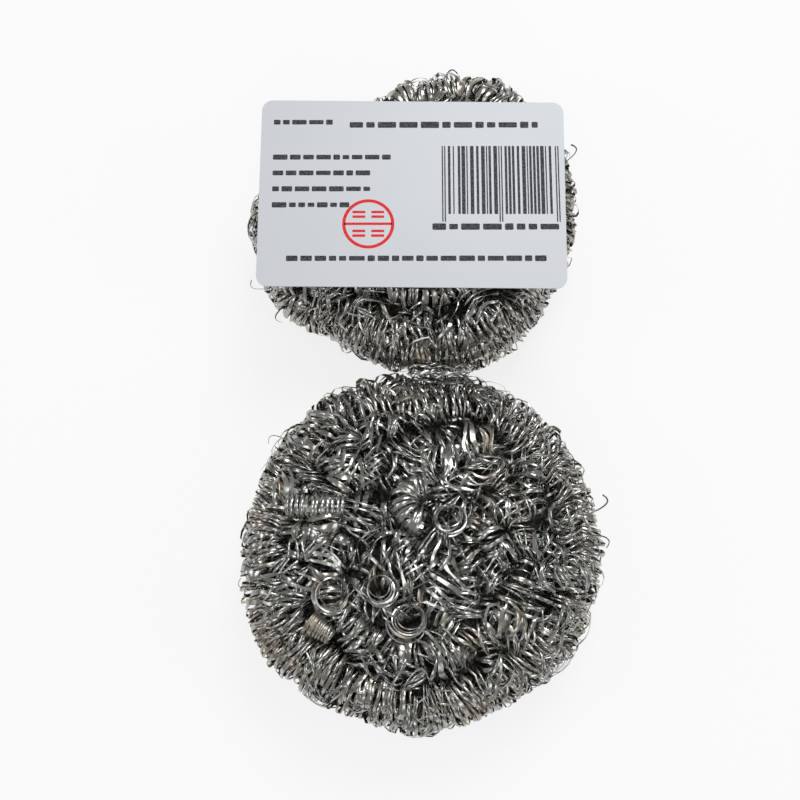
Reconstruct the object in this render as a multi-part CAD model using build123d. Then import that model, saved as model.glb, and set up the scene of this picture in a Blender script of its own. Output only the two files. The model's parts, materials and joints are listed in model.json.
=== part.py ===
from build123d import *
import math
import os

# Two kitchen scourers of curled stainless-steel wire, side by side, with their paper card on top.
# Sizes are in millimetres. The origin lies under the middle of the lower scourer, on the surface
# that both rest on. +Y runs from the lower scourer to the upper one and +Z is up.

# Scourers
scourer_height = 38
lower_radius = 47.5
upper_radius = 46.5
scourer_gap = 0.6
upper_shift = -1.6
lower_face_sink = 0.6
upper_face_rise = 0.2

# Core of tangled wire inside each scourer
core_ribs = 30
rib_depth_share = 0.04
rest_gap = 0.3
bed_leans = (0, 38)
shelf_slope = 45
bed_ease_angle = 12

# Levels of a core as shares: height of the scourer or of its face, and inset of half the height
foot_shares = ((0, 1), (0.116, 0.36))
bulge_skin_share = 0.15
bed_skin_shares = (0.08, 0.05, 0.12)
lump_count = 9
lump_depth = 1.6
dome_shares = ((0.816, 0.32, 0.64), (0.909, 0.67, 0.67), (0.963, 1.05, 1.05), (0.989, 1.42, 1.42))

# Hollows in the lower face that the coils lie in
hollow_depth = 6.4
ring_hollow_depth = 3.4
hollow_room = 1.2
ring_hollow_sides = 8

# Curly strand that winds round each core
strand_diameter = 9
strand_wire_width = 0.8
first_lean = 27
last_lean = -12.5
lower_strand_curls = 22
upper_strand_curls = 16

# Single wire of the coils that show one by one
wire_width = 0.52
wire_sides = 3
open_coil_diameter = 6.5
open_coil_length = 14.7
open_coil_turns = 8
ring_coil_diameter = 9
ring_coil_pitch = 1.5
ring_coil_turns = 2
pinched_coil_diameter = 7
pinched_bend_radius = 5.6
pinched_coil_turns = 3.5
tight_coil_wide = 7
tight_coil_narrow = 4
tight_coil_length = 5.4
tight_coil_turns = 3

# Paper card
card_length = 81.6
card_width = 52.7
card_thickness = 0.4
card_corner_radius = 3
card_gap = 0.3

# Outlines, as shares of each scourer's radius a twelfth of a turn apart, from +X towards +Y
lower_outline_shares = (1, 1.01, 1.02, 0.98, 1.03, 1, 1.01, 1.03, 0.98, 0.97, 0.95, 0.98)
upper_outline_shares = (0.97, 1.02, 0.94, 0.97, 0.7, 0.86, 0.99, 0.98, 0.9, 0.98, 1.01, 0.94)

# Places on the faces, as shares of each scourer's radius
open_coil_share = (-0.56, 0.22)
pinched_coil_share = (-0.006, 0.225)
ring_coil_shares = ((-0.49, -0.25), (-0.08, -0.40), (0.155, 0.145))
tight_coil_share = (-0.53, -0.43)
tight_coil_angle = -35
lower_strand_angles = (186, 528.3)
upper_strand_angles = (94, -150)
card_share = (-0.022, 0.018)
card_angle = -0.5

full_turn = 2 * math.pi
half_turn = math.pi
quarter_turn = math.pi / 2
small_step_share = 0.001
samples_per_turn = 24
neighbour_samples = 12


def smooth_path(place, turns, per_turn):
    """Wire of tangent arcs, two for each stretch, along place(turn) from turn 0 to turns"""
    count = round(turns * per_turn)
    knots = []
    for i in range(count + 1):
        turn = turns * i / count
        tangent = place(turn + small_step_share) - place(turn - small_step_share)
        knots.append((place(turn), tangent.normalized()))
    edges = []
    for (start, leaving), (end, arriving) in zip(knots, knots[1:]):
        chord = end - start
        both = leaving + arriving
        a = 2 * (1 - leaving.dot(arriving))
        b = 2 * chord.dot(both)
        reach = (-b + math.sqrt(b * b + 4 * a * chord.dot(chord))) / (2 * a)
        middle = (start + leaving * reach + end - arriving * reach) / 2
        heading = (end - arriving * reach - start - leaving * reach).normalized()
        edges.append(Edge.make_tangent_arc(start, leaving, middle))
        edges.append(Edge.make_tangent_arc(middle, heading, end))
    return Wire(edges)


def tube(path, width, turns, name):
    """One unbroken tube along the path; prints its least gap to itself"""
    start = path.position_at(0)
    section = Plane(origin=start, z_dir=path.tangent_at(0)) * RegularPolygon(width / 2, wire_sides)
    solid = Solid.sweep(section.faces()[0], path)
    count = round(turns * samples_per_turn)
    points = [path.position_at(i / count) for i in range(count + 1)]
    gap = min(
        (points[i] - points[j]).length
        for i in range(count + 1)
        for j in range(i + neighbour_samples, count + 1)
    ) - width
    print(f"{name}: {turns} turns, least gap to itself {gap:.2f} mm")
    return solid


class Scourer:
    """Flattened ball: a core inside a curly strand, both following one uneven outline"""

    def __init__(self, radius, shares, face_height, strand_angles):
        self.radius = radius
        self.shares = shares
        self.face_height = face_height
        self.strand_angles = [math.radians(angle) for angle in strand_angles]
        self.centre = Vector(0, 0, 0)
        self.rim_radius = (scourer_height - strand_diameter) / 2

    def stand_behind(self, other):
        """Move along +Y until the two outlines are a gap apart"""
        reach = other.outline(quarter_turn) + scourer_gap + self.outline(-quarter_turn)
        self.centre = other.centre + Vector(upper_shift, reach, 0)

    def outline(self, angle):
        """Radius of the outline at an angle, easing from one share to the next"""
        place = (angle % full_turn) / full_turn * len(self.shares)
        k = int(place)
        ease = (1 - math.cos(half_turn * (place - k))) / 2
        here = self.shares[k % len(self.shares)]
        there = self.shares[(k + 1) % len(self.shares)]
        return self.radius * (here + (there - here) * ease)

    def around(self, angle, inset, height):
        """Point at an angle, so far inside the outline and so high"""
        r = self.outline(angle) - inset
        return self.centre + Vector(r * math.cos(angle), r * math.sin(angle), height)

    def on_rim(self, angle, lean, arc_radius):
        """Point on the round of the rim, which leans in above and below its middle"""
        inset = scourer_height / 2 - arc_radius * math.cos(lean)
        return self.around(angle, inset, scourer_height / 2 + arc_radius * math.sin(lean))

    def bed(self, lean):
        """Height and inset of the core behind the strand"""
        bed_radius = self.rim_radius - strand_diameter / 2 - rest_gap
        middle = scourer_height / 2
        return middle + bed_radius * math.sin(lean), middle - bed_radius * math.cos(lean)

    def shelf(self):
        """Height and inset of the core's corner under the lowest part of the strand"""
        lean = math.radians(last_lean)
        room = strand_diameter / 2 + rest_gap
        middle = scourer_height / 2
        drop = room * math.tan((quarter_turn - math.radians(shelf_slope)) / 2)
        height = middle + self.rim_radius * math.sin(lean) - drop
        return height, middle - self.rim_radius * math.cos(lean) + room

    def bed_share(self, angle):
        """1 where the strand passes, easing to 0 beyond its ends"""
        first, last = self.strand_angles
        ease = math.radians(bed_ease_angle)
        past = (angle - (first + last) / 2 + half_turn) % full_turn - half_turn
        past = abs(past) - abs(last - first) / 2 - ease
        return (1 + math.cos(half_turn * min(max(past / ease, 0), 1))) / 2

    def on_face(self, share, height):
        """Point at a share of the radius across and along, and so high"""
        x_share, y_share = share
        return self.centre + Vector(self.radius * x_share, self.radius * y_share, height)

    def strand_angle(self, share):
        first, last = self.strand_angles
        return first + (last - first) * share

    def strand(self, count, name):
        """Curls of one wire round a spine that winds round the rim and sinks along it"""

        def spine(share):
            angle = self.strand_angle(share)
            lean = math.radians(first_lean + (last_lean - first_lean) * share)
            out = Vector(math.cos(angle), math.sin(angle), 0)
            side = out * math.cos(lean) + Vector(0, 0, 1) * math.sin(lean)
            rise = Vector(0, 0, 1) * math.cos(lean) - out * math.sin(lean)
            return self.on_rim(angle, lean, self.rim_radius), side, rise

        radius = (strand_diameter - strand_wire_width) / 2
        return curls(spine, lambda share: radius, count, strand_wire_width, name)

    def levels(self):
        """Height, inset of the skin, inset behind the strand and depth of lumps, foot to face"""
        half = scourer_height / 2
        levels = [(scourer_height * up, half * skin, half * skin, 0) for up, skin in foot_shares]
        beds = [self.shelf()] + [self.bed(math.radians(lean)) for lean in bed_leans]
        shelf_height, shelf_inset = beds[0]
        bulge = half * bulge_skin_share
        fall = (shelf_inset - bulge) * math.tan(math.radians(shelf_slope))
        levels.append((shelf_height - fall, bulge, bulge, 0))
        for (height, inset), skin in zip(beds, bed_skin_shares):
            levels.append((height, half * skin, inset, 0))
        for up, skin, inset in dome_shares:
            levels.append((self.face_height * up, half * skin, half * inset, lump_depth))
        return levels

    def core(self):
        """Lumpy ribbed body of small flat faces: foot, bulge, bed of the strand, dome and face"""
        corner_count = 2 * core_ribs
        rings = []
        for k, (height, skin, bed, depth) in enumerate(self.levels()):
            ring = []
            for i in range(corner_count):
                angle = full_turn * i / corner_count
                inset = skin + (bed - skin) * self.bed_share(angle)
                r = (self.outline(angle) - inset) * (1 - rib_depth_share * (i % 2))
                z = height - depth * (1 + math.cos(lump_count * angle + half_turn * k)) / 2
                ring.append(self.centre + Vector(r * math.cos(angle), r * math.sin(angle), z))
            rings.append(ring)
        top = self.centre + Vector(0, 0, self.face_height)
        panels = [(rings[-1][i - 1], rings[-1][i], top) for i in range(corner_count)]
        for under, over in zip(rings, rings[1:]):
            for i in range(corner_count):
                panels.append((under[i - 1], under[i], over[i]))
                panels.append((under[i - 1], over[i], over[i - 1]))
        faces = [Face(Wire.make_polygon(panel, close=True)) for panel in panels]
        faces.append(Face(Wire.make_polygon(rings[0], close=True)))
        return Solid(Shell(faces))


def curls(spine, radius_at, turns, width, name):
    """One wire that curls round a spine; spine(share) gives its middle, side and rise"""

    def place(turn):
        share = turn / turns
        middle, side, rise = spine(share)
        angle = full_turn * turn
        return middle + (side * math.cos(angle) + rise * math.sin(angle)) * radius_at(share)

    return tube(smooth_path(place, turns, 2), width, turns, name)


def coil(spine, radius_at, turns, name):
    """Curls of the thin single wire"""
    return curls(spine, radius_at, turns, wire_width, name)


def straight_spine(middle, direction, length, side):
    """Spine along a straight line, centred on its middle"""
    rise = direction.cross(side)
    return lambda share: (middle + direction * (length * (share - 0.5)), side, rise)


lower_face_height = scourer_height - lower_face_sink
upper_face_height = scourer_height + upper_face_rise
lower = Scourer(lower_radius, lower_outline_shares, lower_face_height, lower_strand_angles)
upper = Scourer(upper_radius, upper_outline_shares, upper_face_height, upper_strand_angles)
upper.stand_behind(lower)


hollow_floor = lower_face_height - hollow_depth
ring_hollow_floor = lower_face_height - ring_hollow_depth


def hollow(share, length, width, angle, shift=0):
    """Block that clears the face round a lying coil, moved along by a shift"""
    place = lower.on_face(share, hollow_floor) + Vector(shift, 0, 0)
    block = extrude(Rectangle(length + 2 * hollow_room, width + 2 * hollow_room), scourer_height)
    return Pos(place.X, place.Y, place.Z) * Rot(0, 0, angle) * block


def hollows():
    """Blocks that clear the face round every coil"""
    pinched_length = pinched_bend_radius + pinched_coil_diameter / 2
    blocks = [
        hollow(open_coil_share, open_coil_length, open_coil_diameter, 0),
        hollow(
            pinched_coil_share,
            pinched_length,
            2 * pinched_bend_radius + pinched_coil_diameter,
            0,
            -pinched_length / 2,
        ),
        hollow(tight_coil_share, tight_coil_length, tight_coil_wide, tight_coil_angle),
    ]
    ring_room = ring_coil_diameter / 2 + hollow_room
    for share in ring_coil_shares:
        place = lower.on_face(share, ring_hollow_floor)
        block = extrude(RegularPolygon(ring_room, ring_hollow_sides, major_radius=False), scourer_height)
        blocks.append(Pos(place.X, place.Y, place.Z) * block)
    return blocks


def open_coil():
    wire_radius = (open_coil_diameter - wire_width) / 2
    middle = lower.on_face(open_coil_share, hollow_floor + rest_gap + open_coil_diameter / 2)
    spine = straight_spine(middle, Vector(1, 0, 0), open_coil_length, Vector(0, 0, 1))
    return coil(spine, lambda share: wire_radius, open_coil_turns, "lower_open_coil")


def ring_coils():
    """Short coils that stand on end and show as rings"""
    wire_radius = (ring_coil_diameter - wire_width) / 2
    length = ring_coil_pitch * ring_coil_turns
    solids = []
    for share in ring_coil_shares:
        middle = lower.on_face(share, ring_hollow_floor + rest_gap + (wire_width + length) / 2)
        spine = straight_spine(middle, Vector(0, 0, 1), length, Vector(1, 0, 0))
        solids.append(coil(spine, lambda share: wire_radius, ring_coil_turns, "lower_ring_coils"))
    return Compound(children=solids)


def pinched_coil():
    """Curls on a spine bent so far that they gather on its inside"""
    wire_radius = (pinched_coil_diameter - wire_width) / 2
    centre = lower.on_face(pinched_coil_share, hollow_floor + rest_gap + pinched_coil_diameter / 2)

    def spine(share):
        angle = quarter_turn + half_turn * share
        out = Vector(math.cos(angle), math.sin(angle), 0)
        return centre + out * pinched_bend_radius, out, Vector(0, 0, 1)

    return coil(spine, lambda share: wire_radius, pinched_coil_turns, "lower_pinched_coil")


def tight_coil():
    """Cone of curls lying on its side"""
    angle = math.radians(tight_coil_angle)
    direction = Vector(math.cos(angle), math.sin(angle), 0)
    wide = (tight_coil_wide - wire_width) / 2
    narrow = (tight_coil_narrow - wire_width) / 2
    middle = lower.on_face(tight_coil_share, hollow_floor + rest_gap + tight_coil_wide / 2)
    spine = straight_spine(middle, direction, tight_coil_length, Vector(0, 0, 1))
    return coil(
        spine, lambda share: wide + (narrow - wide) * share, tight_coil_turns, "lower_tight_coil"
    )


def card():
    """Rounded paper card that lies on the upper scourer"""
    sheet = extrude(RectangleRounded(card_length, card_width, card_corner_radius), card_thickness)
    place = upper.on_face(card_share, upper_face_height + card_gap)
    return Pos(place.X, place.Y, place.Z) * Rot(0, 0, card_angle) * sheet


nodes = {
    "lower_core": lower.core() - hollows(),
    "lower_strand": lower.strand(lower_strand_curls, "lower_strand"),
    "lower_open_coil": open_coil(),
    "lower_ring_coils": ring_coils(),
    "lower_pinched_coil": pinched_coil(),
    "lower_tight_coil": tight_coil(),
    "upper_core": upper.core(),
    "upper_strand": upper.strand(upper_strand_curls, "upper_strand"),
    "label_card": card(),
}

os.makedirs("parts", exist_ok=True)
for name, solid in nodes.items():
    export_step(solid, f"parts/{name}.step")
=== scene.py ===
"""Two steel wool kitchen scourers, one behind the other, with a paper label card on the back one"""

import json
import math
import random
from typing import NamedTuple

import bpy
import numpy as np
from bpy.props import (
    FloatProperty,
    FloatVectorProperty,
    IntProperty,
    PointerProperty,
)
from mathutils import Matrix, Quaternion, Vector

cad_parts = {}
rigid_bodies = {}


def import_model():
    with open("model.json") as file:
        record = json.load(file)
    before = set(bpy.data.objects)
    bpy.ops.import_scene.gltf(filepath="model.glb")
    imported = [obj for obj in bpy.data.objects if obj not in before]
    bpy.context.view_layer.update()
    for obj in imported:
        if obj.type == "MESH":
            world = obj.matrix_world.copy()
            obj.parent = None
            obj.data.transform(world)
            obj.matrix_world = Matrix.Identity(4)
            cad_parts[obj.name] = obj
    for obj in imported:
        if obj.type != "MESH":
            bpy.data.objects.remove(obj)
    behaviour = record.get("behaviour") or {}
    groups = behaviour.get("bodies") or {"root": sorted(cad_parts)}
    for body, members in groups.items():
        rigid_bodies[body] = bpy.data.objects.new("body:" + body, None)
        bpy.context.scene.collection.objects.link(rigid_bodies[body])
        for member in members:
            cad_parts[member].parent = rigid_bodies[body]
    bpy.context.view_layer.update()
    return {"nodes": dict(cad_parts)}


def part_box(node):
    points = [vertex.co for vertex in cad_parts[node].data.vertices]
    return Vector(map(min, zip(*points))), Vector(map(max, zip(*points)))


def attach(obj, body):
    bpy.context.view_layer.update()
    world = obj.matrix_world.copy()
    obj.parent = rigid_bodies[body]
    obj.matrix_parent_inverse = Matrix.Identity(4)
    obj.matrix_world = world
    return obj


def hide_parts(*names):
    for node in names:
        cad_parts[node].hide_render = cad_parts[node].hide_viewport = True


bl_info = {
    "name": "Steel Wool Scourers",
    "version": (1, 0, 0),
    "blender": (4, 5, 0),
    "location": "View3D > Sidebar > Scourers",
    "description": "Builds two steel wool scourers with a paper label card",
    "category": "Mesh",
}

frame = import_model()

MM = 0.001
FULL_TURN = 2 * math.pi
UP = Vector((0, 0, 1))


class ScourerSizes(bpy.types.PropertyGroup):
    """Outlines of the two scourers"""

    height: FloatProperty(
        name="Height",
        description="Thickness of each scourer as it lies",
        default=38 * MM,
        unit="LENGTH",
    )
    lower_radius: FloatProperty(
        name="Front radius",
        description="Mean radius of the front scourer",
        default=47.5 * MM,
        unit="LENGTH",
    )
    upper_radius: FloatProperty(
        name="Back radius",
        description="Mean radius of the back scourer",
        default=46.5 * MM,
        unit="LENGTH",
    )
    upper_middle: FloatVectorProperty(
        name="Back middle",
        description="Middle of the back scourer, with the front one at zero",
        size=2,
        default=(-1.6 * MM, 92.7 * MM),
        unit="LENGTH",
    )
    lower_outline: FloatVectorProperty(
        name="Front outline",
        description="Shares of the radius every twelfth of a turn, from the right anticlockwise",
        size=12,
        default=(1, 1.01, 1.02, 0.98, 1.03, 1, 1.01, 1.03, 0.98, 0.97, 0.95, 0.98),
    )
    upper_outline: FloatVectorProperty(
        name="Back outline",
        description="Shares of the radius every twelfth of a turn, from the right anticlockwise",
        size=12,
        default=(0.97, 1.03, 1.02, 0.9, 0.6, 0.84, 0.99, 0.98, 0.87, 0.93, 0.98, 0.94),
    )
    face_roundness: FloatProperty(
        name="Face roundness",
        description="Power of the upper side's curve: 2 is an ellipse, more is flatter",
        default=2.7,
        min=2,
        max=6,
    )
    foot_roundness: FloatProperty(
        name="Foot roundness",
        description="Power of the underside's curve: 2 is an ellipse, more is flatter",
        default=3.4,
        min=2,
        max=6,
    )


class WoolSizes(bpy.types.PropertyGroup):
    """Flat wire and the curls that it is wound into"""

    ribbon_width: FloatProperty(
        name="Ribbon width",
        description="Width of the flat wire",
        default=0.7 * MM,
        unit="LENGTH",
    )
    ribbon_thickness: FloatProperty(
        name="Ribbon thickness",
        description="Thickness of the flat wire at its crown",
        default=0.12 * MM,
        unit="LENGTH",
    )
    curl_diameter: FloatProperty(
        name="Curl diameter",
        description="Usual outer diameter of a curl",
        default=7.8 * MM,
        unit="LENGTH",
    )
    curl_spacing: FloatProperty(
        name="Curl spacing",
        description="Distance from one curl to the next in a close coil",
        default=1.35 * MM,
        unit="LENGTH",
    )
    curl_steps: IntProperty(
        name="Steps of a curl",
        description="Straight pieces that one curl is made of",
        default=14,
        min=6,
        max=32,
    )
    jumble: FloatProperty(
        name="Jumble",
        description="How far the curls are pushed out of their places",
        default=0.8 * MM,
        unit="LENGTH",
    )
    lumps: FloatProperty(
        name="Lumps",
        description="How far whole strands are pushed in and out",
        default=2.8 * MM,
        unit="LENGTH",
    )
    seed: IntProperty(
        name="Seed",
        description="Start of the random numbers that the wool is laid with",
        default=7,
    )


class ScourerFinishes(bpy.types.PropertyGroup):
    """Colours of the steel, the card and the inks"""

    steel: FloatVectorProperty(
        name="Steel",
        description="Colour of the clean wire",
        subtype="COLOR",
        default=(0.465, 0.467, 0.44),
    )
    tarnish: FloatVectorProperty(
        name="Tarnish",
        description="Colour of the wire where it has browned",
        subtype="COLOR",
        default=(0.33, 0.282, 0.21),
    )
    # Painted shade: a dark colour for the heart deep in the tangle, standing in for the shadow
    # inside the wool
    depth_shade: FloatVectorProperty(
        name="Depths",
        description="Colour deep inside the tangle",
        subtype="COLOR",
        default=(0.06, 0.058, 0.054),
    )
    paper: FloatVectorProperty(
        name="Paper",
        description="Colour of the card",
        subtype="COLOR",
        default=(0.61, 0.638, 0.672),
    )
    ink: FloatVectorProperty(
        name="Ink",
        description="Colour of the printed marks",
        subtype="COLOR",
        default=(0.02, 0.02, 0.026),
    )
    stamp: FloatVectorProperty(
        name="Stamp",
        description="Colour of the round stamp",
        subtype="COLOR",
        default=(0.74, 0.012, 0.018),
    )


class StageSettings(bpy.types.PropertyGroup):
    """Floor, light and camera"""

    floor_colour: FloatVectorProperty(
        name="Floor colour",
        description="Colour of the plain floor",
        subtype="COLOR",
        default=(0.9, 0.9, 0.9),
    )
    surround: FloatProperty(
        name="Surround",
        description="Strength of the even light from all round",
        default=0.34,
    )
    key_power: FloatProperty(
        name="Key power",
        description="Power of the main lamp",
        default=2.0,
        subtype="POWER",
    )
    fill_power: FloatProperty(
        name="Fill power",
        description="Power of each side lamp",
        default=0.45,
        subtype="POWER",
    )
    top_power: FloatProperty(
        name="Top power",
        description="Power of the lamp overhead",
        default=0.75,
        subtype="POWER",
    )
    camera_place: FloatVectorProperty(
        name="Camera place",
        description="Where the camera stands",
        size=3,
        default=(-5.9 * MM, -20.7 * MM, 310.5 * MM),
        unit="LENGTH",
    )
    camera_aim: FloatVectorProperty(
        name="Camera aim",
        description="Point that the camera looks at",
        size=3,
        default=(-5.88 * MM, 41.09 * MM, 20 * MM),
        unit="LENGTH",
    )
    lens: FloatProperty(
        name="Lens",
        description="Focal length for a 36 mm sensor",
        default=48.9,
    )


class Number:
    """A number in a material; sums and products of numbers add Math nodes"""

    def __init__(self, finish, socket):
        self.finish = finish
        self.socket = socket

    def joined(self, operation, first, second):
        node = self.finish.node(
            "ShaderNodeMath", {"operation": operation}, {0: first, 1: second}
        )
        return Number(self.finish, node.outputs[0])

    def __add__(self, other):
        return self.joined("ADD", self, other)

    def __radd__(self, other):
        return self.joined("ADD", other, self)

    def __sub__(self, other):
        return self.joined("SUBTRACT", self, other)

    def __rsub__(self, other):
        return self.joined("SUBTRACT", other, self)

    def __mul__(self, other):
        return self.joined("MULTIPLY", self, other)

    def __rmul__(self, other):
        return self.joined("MULTIPLY", other, self)


class Finish:
    """A material under construction"""

    def __init__(self, name):
        self.material = bpy.data.materials.new(name)
        self.material.use_nodes = True
        self.tree = self.material.node_tree
        self.tree.nodes.clear()

    def node(self, kind, settings=None, sockets=None):
        """A node with its settings made and its sockets filled or linked"""
        made = self.tree.nodes.new(kind)
        for name, value in (settings or {}).items():
            setattr(made, name, value)
        for name, value in (sockets or {}).items():
            value = value.socket if isinstance(value, Number) else value
            if isinstance(value, bpy.types.NodeSocket):
                self.tree.links.new(value, made.inputs[name])
            else:
                made.inputs[name].default_value = value
        return made

    def place(self):
        return self.node("ShaderNodeTexCoord").outputs["Object"]

    def noise(self, scale, detail=2):
        """Smooth noise from 0 to 1, with so many cells in a metre"""
        sockets = {"Vector": self.place(), "Scale": scale, "Detail": detail}
        node = self.node("ShaderNodeTexNoise", {}, sockets)
        return Number(self, node.outputs["Fac"])

    def level(self, value, low, high):
        """0 below the low value, 1 above the high one"""
        sockets = {"Value": value, "From Min": low, "From Max": high}
        node = self.node("ShaderNodeMapRange", {}, sockets)
        return Number(self, node.outputs["Result"])

    def mixed(self, share, one, other):
        """Colour between two, the other at a share of 1"""
        one, other = (
            colour if isinstance(colour, bpy.types.NodeSocket) else (*colour, 1)
            for colour in (one, other)
        )
        colour_sockets = {"Factor": share, 6: one, 7: other}
        node = self.node("ShaderNodeMix", {"data_type": "RGBA"}, colour_sockets)
        return node.outputs[2]

    def bump(self, height, distance, strength=1.0):
        """Normal of a surface that rises by the distance where the height is 1"""
        sockets = {"Height": height, "Distance": distance, "Strength": strength}
        return self.node("ShaderNodeBump", {}, sockets).outputs["Normal"]

    def surface(self, **sockets):
        """Ends the material in one Principled surface"""
        names = {name.replace("_", " ").title(): value for name, value in sockets.items()}
        names = {name.replace("Ior", "IOR"): value for name, value in names.items()}
        shader = self.node("ShaderNodeBsdfPrincipled", {}, names)
        self.node("ShaderNodeOutputMaterial", {}, {"Surface": shader.outputs[0]})
        return self.material


def finishes():
    return bpy.context.scene.scourer_finishes


def tinted(colour, shares):
    """The colour with each channel multiplied, all by one number or each by its own"""
    shares = shares if isinstance(shares, tuple) else (shares,) * 3
    return tuple(channel * share for channel, share in zip(colour, shares))


# Cells in a metre of each noise on the wire
WIRE_GRAIN = {
    "patches": 160,
    "clouds": 420,
    "ripples": 620,
    "gloss": 900,
    "painted_reflection_streaks": 1300,
    "scratches": 2600,
}
# Darkest and lightest shares of the clean colour, between which the strand's own tone and the
# painted reflections range
DARKEST_WIRE_SHARE = 0.5
LIGHTEST_WIRE_SHARE = 1.22
BROWN_EASE = 0.12


def wire_finish(name, clean, browned, brown_from):
    """Drawn flat steel wire: fine scratches, uneven gloss, brown patches, its own tone from strand
    to strand, and painted reflections as lighter and darker clouds and streaks in its colour
    """
    finish = Finish(name)
    strand = finish.node("ShaderNodeAttribute", {"attribute_name": "strand"})
    strand = Number(finish, strand.outputs["Fac"])
    patches = finish.noise(WIRE_GRAIN["patches"], 3)
    brown = finish.level(strand * 0.35 + patches * 0.65, brown_from, brown_from + BROWN_EASE)
    # Clouds and streaks are painted reflections: lighter and darker colour standing in for the
    # varied room mirrored in the wire; the strand's value is its own tone
    clouds = finish.level(finish.noise(WIRE_GRAIN["clouds"]), 0.3, 0.7)
    painted_reflection_streaks = finish.level(finish.noise(WIRE_GRAIN["painted_reflection_streaks"], 3), 0.36, 0.64)
    shade = 0.45 * strand + 0.3 * clouds + 0.25 * painted_reflection_streaks
    darkest, lightest = tinted(clean, DARKEST_WIRE_SHARE), tinted(clean, LIGHTEST_WIRE_SHARE)
    tone_and_painted_reflections = finish.mixed(shade, darkest, lightest)
    gloss = finish.noise(WIRE_GRAIN["gloss"])
    scratches = finish.noise(WIRE_GRAIN["scratches"], 3)
    ripples = finish.noise(WIRE_GRAIN["ripples"], 1)
    return finish.surface(
        base_color=finish.mixed(brown * 0.7, tone_and_painted_reflections, browned),
        metallic=1.0,
        roughness=0.15 + 0.16 * gloss + 0.12 * brown,
        normal=finish.bump(scratches + 7 * ripples, 0.02 * MM, 0.45),
    )


# Cells in a metre of each noise on the hearts, and the shares that tell how dark their painted shade
# and how light their painted glints get
HEART_GRAIN = {"patches": 240, "clouds": 900}
DARKEST_HEART_SHARE = 0.3
LIGHTEST_HEART_SHARE = 2.2


def painted_depth_shade_finish():
    """Painted shade for the tangle seen between the curls: a dark colour that stands in for the
    shadow inside the wool, with lighter painted glints
    """
    finish = Finish("depths_of_wool")
    dark = finishes().depth_shade
    clouds = finish.noise(HEART_GRAIN["clouds"], 4)
    patches = finish.noise(HEART_GRAIN["patches"])
    # Painted glints: lighter patches on the painted shade where the tangle would catch the light
    painted_glints = finish.level(clouds * 0.7 + patches * 0.3, 0.42, 0.68)
    darkest, lightest = tinted(dark, DARKEST_HEART_SHARE), tinted(dark, LIGHTEST_HEART_SHARE)
    return finish.surface(
        base_color=finish.mixed(painted_glints, darkest, lightest),
        metallic=0.7,
        roughness=0.5 + 0.2 * patches,
        normal=finish.bump(clouds, 0.5 * MM),
    )


# Cells in a metre of each noise on the card and the ink
PAPER_GRAIN = {"mottle": 70, "fibres": 1500}
DARKEST_PAPER_SHARE = 0.965
INK_GRAIN = 1900


def paper_finish():
    """Smooth coated card with a faint mottle"""
    finish = Finish("card_paper")
    paper = finishes().paper
    mottle = finish.noise(PAPER_GRAIN["mottle"], 4)
    fibres = finish.noise(PAPER_GRAIN["fibres"], 4)
    tone = finish.level(mottle * 0.5 + fibres * 0.5, 0.3, 0.7)
    return finish.surface(
        base_color=finish.mixed(tone, tinted(paper, DARKEST_PAPER_SHARE), paper),
        roughness=0.38 + 0.14 * fibres,
        coat_weight=0.15,
        coat_roughness=0.25,
        normal=finish.bump(fibres, 0.01 * MM, 0.4),
    )


def ink_finish(name, colour, paleness):
    """Thin print, paler where the ink took less"""
    finish = Finish(name)
    take = finish.level(finish.noise(INK_GRAIN, 3), 0.25, 0.6)
    paler = tuple(ink + (paper - ink) * paleness for ink, paper in zip(colour, finishes().paper))
    return finish.surface(
        base_color=finish.mixed(take, paler, colour),
        roughness=0.42 + 0.15 * take,
        specular_ior_level=0.2,
        normal=finish.bump(take, 0.005 * MM),
    )


# Ways along the skin: their step, how far each point wavers, and how much of the last turn is kept
STROLL_STEP = 2.5 * MM
STROLL_WAVER = 0.25 * MM
STROLL_MEMORY = 0.7
OUTLINE_STEPS = 360


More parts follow.
